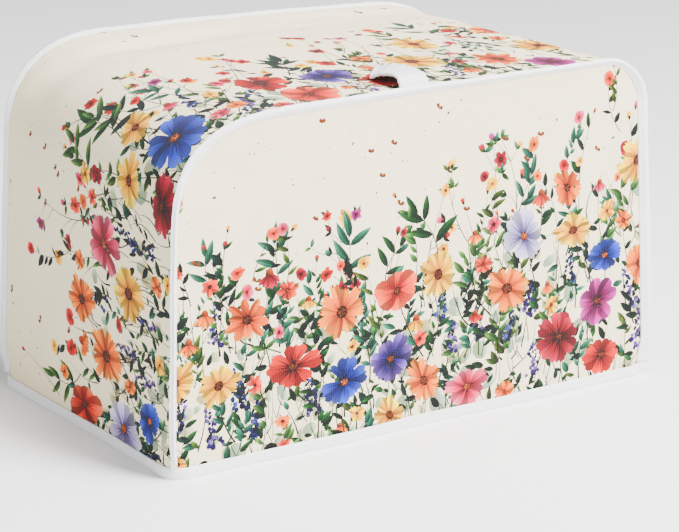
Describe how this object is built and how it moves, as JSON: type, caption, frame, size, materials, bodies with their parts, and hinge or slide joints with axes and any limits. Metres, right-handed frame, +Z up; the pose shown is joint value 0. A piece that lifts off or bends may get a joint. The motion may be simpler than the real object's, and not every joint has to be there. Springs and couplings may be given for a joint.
{
  "type": "fitted cloth toaster cover",
  "caption": "Hollow fitted cloth cover that drops over a toaster, with a wildflower print, white bound seams and hem, and a strap loop on top",
  "frame": {"origin": "centre of the bounding box in X and Y, on the surface that the hem stands on", "axes": "+X along the width, towards the right side as seen from the front; +Y from the front panel to the back panel; +Z up. The front panel faces -Y"},
  "size_m": [0.32, 0.1909, 0.1982],
  "materials": {
    "printed_cloth": "matt canvas weave, cream ground with a printed wildflower meadow",
    "binding_tape": "matt white bias binding tape, stitched along its edge",
    "strap_cloth": "matt white double-layer strap with edge stitching"
  },
  "bodies": {
    "root": {"panel_front": "printed_cloth", "panel_back": "printed_cloth", "band": "printed_cloth", "binding_front": "binding_tape", "binding_back": "binding_tape", "binding_hem": "binding_tape", "handle": "strap_cloth"}
  },
  "joints": []
}
